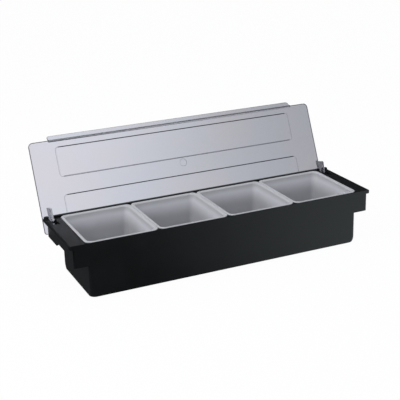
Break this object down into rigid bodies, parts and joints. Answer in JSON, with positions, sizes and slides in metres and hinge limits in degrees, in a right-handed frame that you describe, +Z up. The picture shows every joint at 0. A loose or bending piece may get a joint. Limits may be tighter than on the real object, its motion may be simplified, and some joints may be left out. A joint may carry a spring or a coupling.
{
  "type": "bar condiment caddy",
  "caption": "Long black moulded bar caddy with lift-out white inserts in a row and a clear flip lid on pins at the back corners.",
  "frame": {"origin": "middle of the tray's length and depth over its flange, on the floor it stands on", "axes": "+X along the tray to the right as seen from the front, +Y to the back where the lid is hinged, +Z up"},
  "size_m": [0.491, 0.1915, 0.1884],
  "materials": {
    "tray_plastic": "satin",
    "insert_plastic": "milky translucent",
    "lid_plastic": "clear, slightly smoky",
    "pin_steel": "plain"
  },
  "bodies": {
    "tray": {"tray_body": "tray_plastic", "left_hinge_pin": "pin_steel", "right_hinge_pin": "pin_steel"},
    "lid": {"lid": "lid_plastic"},
    "insert_1": {"insert_1": "insert_plastic"},
    "insert_2": {"insert_2": "insert_plastic"},
    "insert_3": {"insert_3": "insert_plastic"},
    "insert_4": {"insert_4": "insert_plastic"}
  },
  "joints": [
    {"name": "lid_hinge", "type": "hinge", "parent": "tray", "child": "lid", "pos_m": [0, 0.0555, 0.0775], "axis": [-1, 0, 0], "range_deg": [-115.4, 0]},
    {"name": "insert_1_lift", "type": "slide", "parent": "tray", "child": "insert_1", "axis": [0, 0, 1], "range_m": [0, 0.09]},
    {"name": "insert_2_lift", "type": "slide", "parent": "tray", "child": "insert_2", "axis": [0, 0, 1], "range_m": [0, 0.09]},
    {"name": "insert_3_lift", "type": "slide", "parent": "tray", "child": "insert_3", "axis": [0, 0, 1], "range_m": [0, 0.09]},
    {"name": "insert_4_lift", "type": "slide", "parent": "tray", "child": "insert_4", "axis": [0, 0, 1], "range_m": [0, 0.09]}
  ]
}
